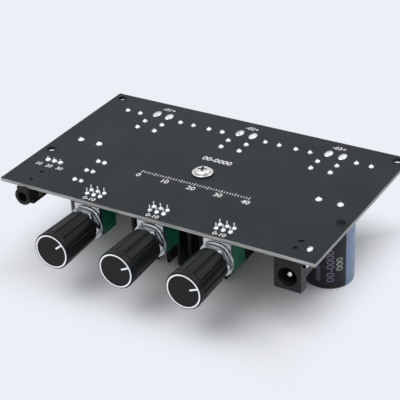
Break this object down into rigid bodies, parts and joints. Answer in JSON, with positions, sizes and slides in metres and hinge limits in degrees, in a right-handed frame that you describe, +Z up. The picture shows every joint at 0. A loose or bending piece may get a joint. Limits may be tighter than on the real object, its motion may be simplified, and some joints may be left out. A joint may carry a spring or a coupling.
{
  "type": "audio amplifier board",
  "caption": "Flat audio amplifier circuit board with fluted control knobs along its front edge, lying solder side up on its tall capacitors.",
  "frame": {"origin": "centre of the bounding box in plan, on the floor that the tall capacitors stand on", "axes": "+X along the front edge to the right, +Y from the knobs towards the speaker terminals, +Z up out of the solder side"},
  "size_m": [0.115, 0.0908, 0.0303],
  "materials": {
    "solder_mask": "satin",
    "anodised": "satin",
    "plated_steel": "satin",
    "epoxy": "matte",
    "black_plastic": "satin",
    "brass": "satin",
    "capacitor_sleeve": "satin",
    "rubber_seal": "matte",
    "terminal_plastic": "satin",
    "ferrite": "matte",
    "film_coating": "gloss",
    "green_laminate": "satin"
  },
  "bodies": {
    "board": {"circuit_board": "solder_mask", "heatsink": "anodised", "heatsink_screw": "plated_steel", "heatsink_washer": "plated_steel", "amplifier_chip_left": "epoxy", "amplifier_chip_right": "epoxy", "op_amp_front": "epoxy", "op_amp_rear": "epoxy", "power_jack_housing": "black_plastic", "power_jack_pin": "plated_steel", "signal_jack_body": "black_plastic", "signal_jack_contact_front": "brass", "signal_jack_contact_rear": "brass", "pin_header": "black_plastic", "power_capacitor_left_can": "capacitor_sleeve", "power_capacitor_left_seal": "rubber_seal", "power_capacitor_right_can": "capacitor_sleeve", "power_capacitor_right_seal": "rubber_seal", "small_capacitor_1": "capacitor_sleeve", "small_capacitor_2": "capacitor_sleeve", "small_capacitor_3": "capacitor_sleeve", "terminal_block_right": "terminal_plastic", "terminal_block_right_clamp_1": "plated_steel", "terminal_block_right_clamp_2": "plated_steel", "choke_right_a": "ferrite", "film_capacitor_right_a": "film_coating", "choke_right_b": "ferrite", "film_capacitor_right_b": "film_coating", "terminal_block_sub": "terminal_plastic", "terminal_block_sub_clamp_1": "plated_steel", "terminal_block_sub_clamp_2": "plated_steel", "choke_sub_a": "ferrite", "film_capacitor_sub_a": "film_coating", "choke_sub_b": "ferrite", "film_capacitor_sub_b": "film_coating", "terminal_block_left": "terminal_plastic", "terminal_block_left_clamp_1": "plated_steel", "terminal_block_left_clamp_2": "plated_steel", "choke_left_a": "ferrite", "film_capacitor_left_a": "film_coating", "choke_left_b": "ferrite", "film_capacitor_left_b": "film_coating", "volume_pot_plate": "plated_steel", "volume_pot_body": "green_laminate", "volume_washer": "plated_steel", "volume_nut": "plated_steel", "bass_pot_plate": "plated_steel", "bass_pot_body": "green_laminate", "bass_washer": "plated_steel", "bass_nut": "plated_steel", "stereo_pot_plate": "plated_steel", "stereo_pot_body": "green_laminate", "stereo_washer": "plated_steel", "stereo_nut": "plated_steel"},
    "volume_control": {"volume_knob": "anodised", "volume_shaft": "plated_steel"},
    "bass_control": {"bass_knob": "anodised", "bass_shaft": "plated_steel"},
    "stereo_control": {"stereo_knob": "anodised", "stereo_shaft": "plated_steel"}
  },
  "joints": [
    {"name": "volume_turn", "type": "hinge", "parent": "board", "child": "volume_control", "pos_m": [-0.02315, -0.02555, 0.0198], "axis": [0, 1, 0], "range_deg": [-21, 279]},
    {"name": "bass_turn", "type": "hinge", "parent": "board", "child": "bass_control", "pos_m": [0.0007, -0.02555, 0.0198], "axis": [0, 1, 0], "range_deg": [-34, 266]},
    {"name": "stereo_turn", "type": "hinge", "parent": "board", "child": "stereo_control", "pos_m": [0.02455, -0.02555, 0.0198], "axis": [0, 1, 0], "range_deg": [-36.5, 263.5]}
  ]
}
